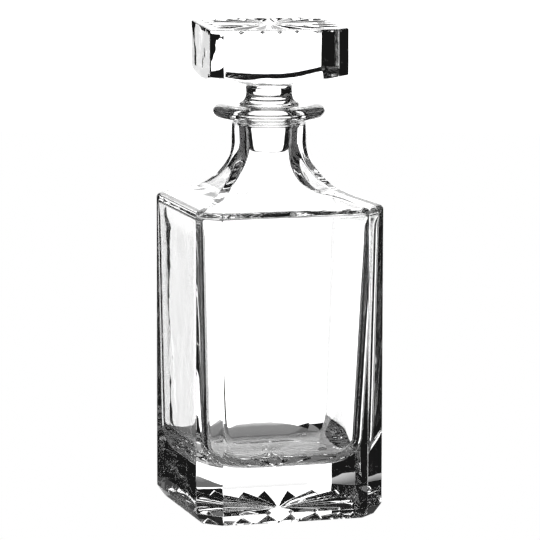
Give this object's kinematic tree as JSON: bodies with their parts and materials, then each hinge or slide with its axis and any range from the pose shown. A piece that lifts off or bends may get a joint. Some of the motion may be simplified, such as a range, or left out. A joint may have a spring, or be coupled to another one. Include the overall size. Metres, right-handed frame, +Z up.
{
  "type": "cut glass decanter",
  "caption": "Square cut-glass decanter with cut corners, hollow shoulders, ringed round neck, thick star-cut base and a lift-out block stopper with a star-cut top.",
  "frame": {"origin": "centre of the resting face of the base, on the axis of the neck", "axes": "+Z up along the neck's axis, front face towards -Y, +X to the right seen from the front"},
  "size_m": [0.09, 0.09, 0.2276],
  "materials": {
    "body_glass": "fire-polished clear crystal glass",
    "stopper_glass": "fire-polished clear crystal glass"
  },
  "bodies": {
    "decanter": {"decanter_body": "body_glass"},
    "stopper": {"stopper": "stopper_glass"}
  },
  "joints": [
    {"name": "stopper_lift", "type": "slide", "parent": "decanter", "child": "stopper", "axis": [0, 0, 1], "range_m": [0, 0.04]}
  ]
}
